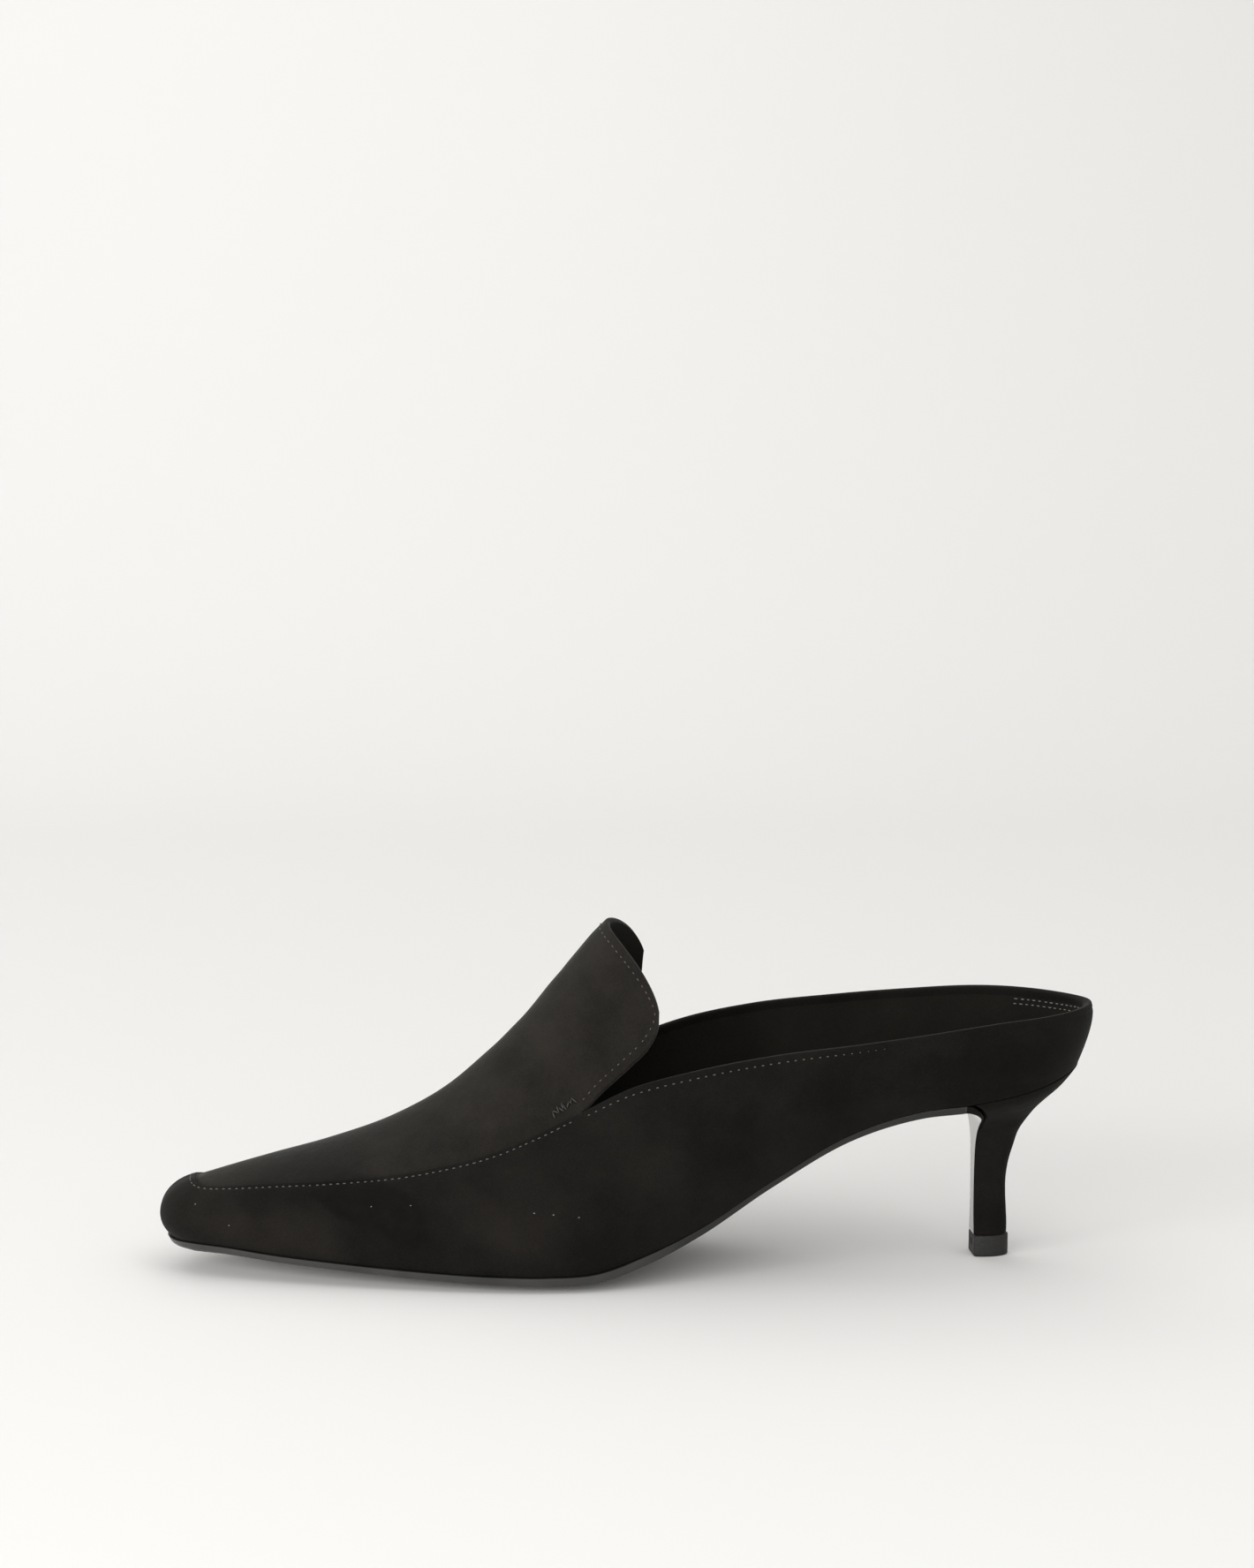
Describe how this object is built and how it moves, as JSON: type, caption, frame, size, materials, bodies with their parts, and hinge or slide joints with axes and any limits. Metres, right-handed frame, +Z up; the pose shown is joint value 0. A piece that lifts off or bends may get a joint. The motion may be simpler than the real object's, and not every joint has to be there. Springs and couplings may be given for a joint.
{
  "type": "kitten heel mule",
  "caption": "Backless slip-on shoe for the left foot with an inset apron that runs up into a standing tongue, a slim square toe and a low slender heel.",
  "frame": {"origin": "middle of the shoe's bounding box, on the floor it stands on", "axes": "+X from toe to heel, +Y to the medial side of the left foot, +Z up"},
  "size_m": [0.2616, 0.0784, 0.0966],
  "materials": {
    "upper": "black suede with a short nap, lined in black leather",
    "apron_tongue": "black suede with a short nap",
    "insole": "smooth black leather sock",
    "outsole": "satin black composition sole",
    "heel": "heel block covered in black suede",
    "top_piece": "matte dark rubber"
  },
  "bodies": {
    "root": {"upper": "upper", "apron_tongue": "apron_tongue", "insole": "insole", "outsole": "outsole", "heel": "heel", "top_piece": "top_piece"}
  },
  "joints": []
}
